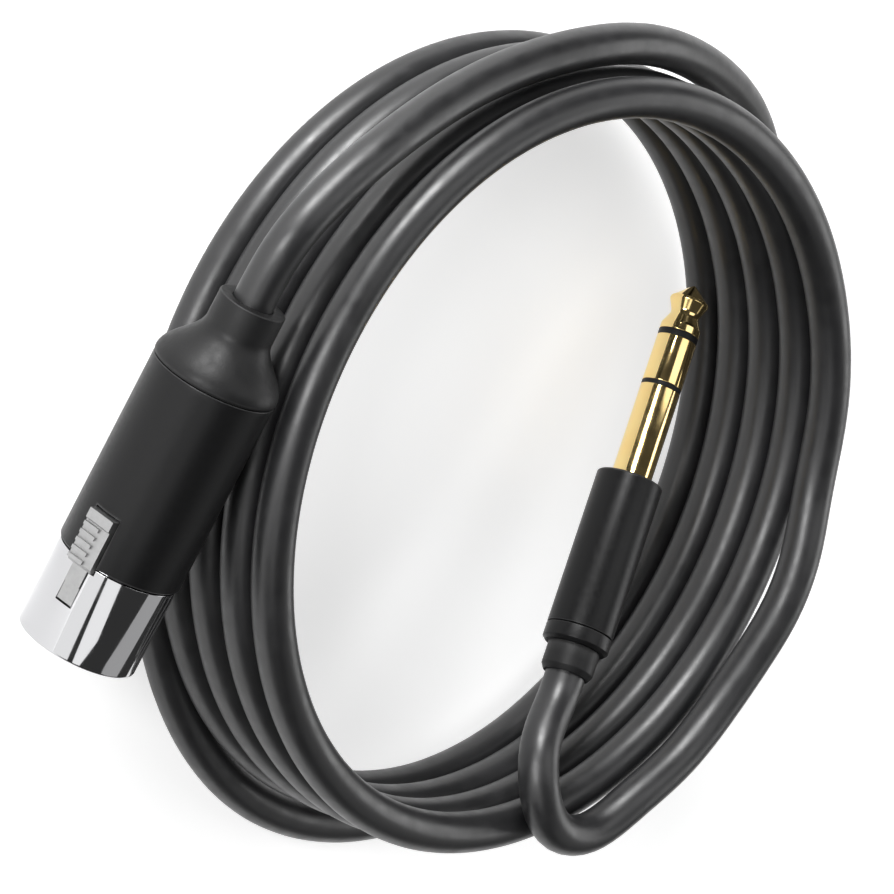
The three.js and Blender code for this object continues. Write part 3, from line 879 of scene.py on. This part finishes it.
def jack_tip():
    outline = [
        (0, 0),
        (0.1, 0.3, 0.15),
        (2.5, 3.05, 0.25),
        (2.9, 3.1, 0.2),
        (4.6, 2.35, 1),
        (5.2, 2.3, 1),
        (6.6, 3, 0.3),
        (7, JACK_R, 0.2),
        (JACK_TIP_END, JACK_R, 0.1),
        (JACK_TIP_END, ROD_R),
        (ROD_END, ROD_R),
        (ROD_END, 0),
    ]
    return piece("jack_tip_contact", turned_mesh(outline), JACK, "gold", "jack_tip")


def insulator(name, replaced, front_contact, rear_contact, inside, outer, tube_end):
    """A washer that shows between the ends of two contacts, and the tube behind it, round the contact
    whose radius is inside."""
    start, end = front_contact + WASHER_GAP, rear_contact - WASHER_GAP
    inner = inside + TUBE_GAP
    outline = [
        (start, inner),
        (start, WASHER_R, 0.05),
        (end, WASHER_R, 0.05),
        (end, outer),
        (tube_end, outer),
        (tube_end, inner),
    ]
    return piece(name, turned_mesh(outline), JACK, "black_plastic", replaced)


def jack_ring():
    outline = [
        (JACK_RING_START, INNER_TUBE_R + TUBE_GAP),
        (JACK_RING_START, JACK_R, 0.12),
        (JACK_RING_END, JACK_R, 0.12),
        (JACK_RING_END, RING_TUBE_R),
        (RING_TUBE_END, RING_TUBE_R),
        (RING_TUBE_END, INNER_TUBE_R + TUBE_GAP),
    ]
    return piece("jack_ring_contact", turned_mesh(outline), JACK, "gold", "jack_ring")


def jack_sleeve():
    outline = [
        (JACK_SLEEVE_START, OUTER_TUBE_R + TUBE_GAP),
        (JACK_SLEEVE_START, JACK_R, 0.12),
        (JACK_PLUG + 1, JACK_R),
        (JACK_PLUG + 2, JACK_SHOULDER_R),
        (JACK_SHOULDER_END, JACK_SHOULDER_R),
        (JACK_SHOULDER_END, OUTER_TUBE_R + TUBE_GAP),
    ]
    return piece("jack_sleeve_contact", turned_mesh(outline), JACK, "gold", "jack_sleeve")


def jack_housing():
    start = JACK_PLUG
    end = JACK_COLLAR_START - 0.2
    outline = [
        (start, JACK_R + 0.2, 0.1),
        (start, JACK_HOUSING_R, 0.45),
        (end, JACK_HOUSING_R, 0.12),
        (end, JACK_HOUSING_BORE),
        (start + 2, JACK_HOUSING_BORE),
        (start + 0.8, JACK_R + 0.2),
    ]
    return piece("jack_housing_barrel", turned_mesh(outline), JACK, "black_shell", "jack_housing")


def jack_collar():
    outline = [
        (JACK_COLLAR_START, JACK_COLLAR_BORE),
        (JACK_COLLAR_START, JACK_HOUSING_R, 0.12),
        (JACK_REAR - 0.5, JACK_HOUSING_R, 0.2),
        (JACK_REAR, JACK_HOUSING_R - 0.5, 0.15),
        (JACK_REAR, JACK_COLLAR_BORE),
    ]
    return piece("jack_collar_ring", turned_mesh(outline), JACK, "black_shell", "jack_collar")


def jack_relief():
    mouth = CABLE_D / 2 / MM + 0.05
    outline = [
        (JACK_REAR + 0.05, mouth),
        (JACK_REAR + 0.05, JACK_RELIEF_R),
        (JACK_RELIEF_END - 0.9, JACK_RELIEF_R, 0.4),
        (JACK_RELIEF_END, mouth + 0.35, 0.15),
        (JACK_RELIEF_END, mouth, 0.1),
    ]
    return piece("jack_relief_bush", turned_mesh(outline), JACK, "black_plastic", "jack_strain_relief")


def jack():
    return [
        jack_tip(),
        insulator("jack_washer_tip", "jack_tip_insulator", JACK_TIP_END, JACK_RING_START,
                  ROD_R, INNER_TUBE_R, INNER_TUBE_END),
        jack_ring(),
        insulator("jack_washer_ring", "jack_ring_insulator", JACK_RING_END, JACK_SLEEVE_START,
                  RING_TUBE_R, OUTER_TUBE_R, OUTER_TUBE_END),
        jack_sleeve(),
        jack_housing(),
        jack_collar(),
        jack_relief(),
    ]


# ---------------------------------------------------------------- floor and light

def floor():
    """A white light table, so that the object's own shadow stays faint."""
    bm = bmesh.new()
    bmesh.ops.create_grid(bm, x_segments=1, y_segments=1, size=4)
    sheet = bpy.data.objects.new("floor", made_mesh(bm))
    material, _, shader = new_material("floor", (0.85, 0.85, 0.85), 0.9, 0, Specular_IOR_Level=0.1)
    shader.inputs["Emission Color"].default_value = (1, 1, 1, 1)
    shader.inputs["Emission Strength"].default_value = FLOOR_GLOW
    sheet.data.materials.append(material)
    bpy.context.scene.collection.objects.link(sheet)


def softbox(name, direction, distance, size, brightness):
    """An area light at an (azimuth, elevation) in degrees from the object, that faces it.
    Brightness is what the camera would see of it, where 1 is white."""
    light = bpy.data.lights.new(name, "AREA")
    light.shape = "RECTANGLE"
    light.size, light.size_y = size
    light.energy = brightness * math.pi * size[0] * size[1]
    azimuth, elevation = (math.radians(angle) for angle in direction)
    outwards = Vector((
        math.cos(azimuth) * math.cos(elevation),
        math.sin(azimuth) * math.cos(elevation),
        math.sin(elevation)))
    lamp = bpy.data.objects.new(name, light)
    lamp.location = outwards * distance
    lamp.rotation_mode = "QUATERNION"
    lamp.rotation_quaternion = (-outwards).to_track_quat("-Z", "Y")
    bpy.context.scene.collection.objects.link(lamp)


def lighting():
    world = bpy.data.worlds.new("studio")
    world.use_nodes = True
    world.node_tree.nodes["Background"].inputs["Color"].default_value = (1, 1, 1, 1)
    world.node_tree.nodes["Background"].inputs["Strength"].default_value = WORLD_BRIGHTNESS
    bpy.context.scene.world = world
    bpy.context.scene.view_settings.view_transform = "Standard"
    for name, (direction, distance, size, brightness) in SOFTBOXES.items():
        softbox(name, direction, distance, size, brightness)


make_camera()
cable_line = smooth_line(cable_route(), CABLE_STEP)
cable = make_cable(cable_line)
cable.data.materials.append(MATERIALS["jacket"])
xlr_connector()
plug = jack()
finish_kept_nodes()
floor()
lighting()
